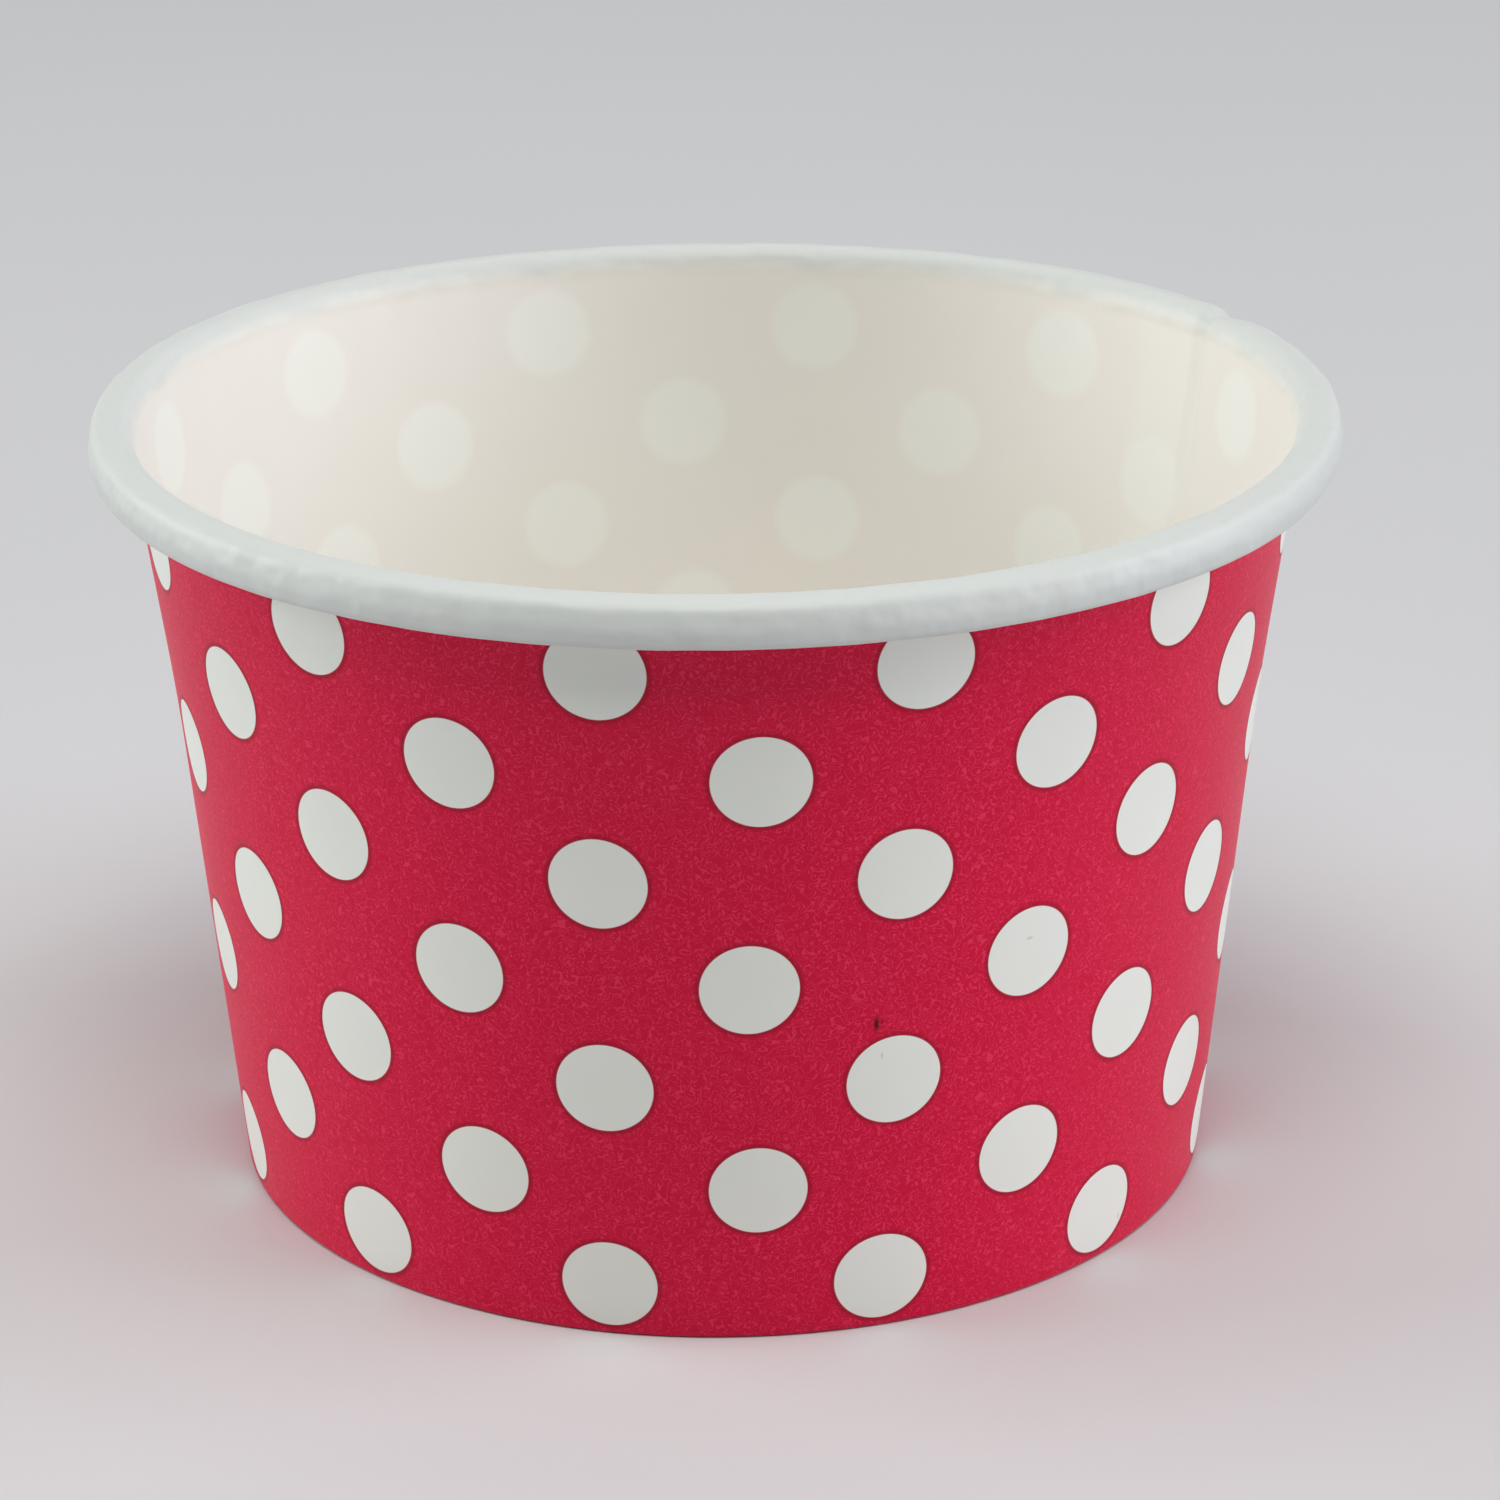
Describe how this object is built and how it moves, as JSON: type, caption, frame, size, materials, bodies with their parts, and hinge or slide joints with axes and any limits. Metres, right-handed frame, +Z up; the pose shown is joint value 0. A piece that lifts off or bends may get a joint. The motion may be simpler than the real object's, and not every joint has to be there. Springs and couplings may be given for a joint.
{
  "type": "paper ice cream cup",
  "caption": "Tapered single-wall paper cup with a rolled rim, side seam and raised bottom, red outside with off-white dots and plain inside.",
  "frame": {"origin": "centre of the foot ring, on the surface that the cup stands on", "axes": "+Z up along the cup's axis, out of its mouth; -Y towards the pictured front"},
  "size_m": [0.095, 0.095, 0.06],
  "materials": {
    "printed_board": "satin print on coated board",
    "plain_board": "satin film on off-white board"
  },
  "bodies": {
    "root": {"sidewall": "printed_board", "bottom": "plain_board"}
  },
  "joints": []
}
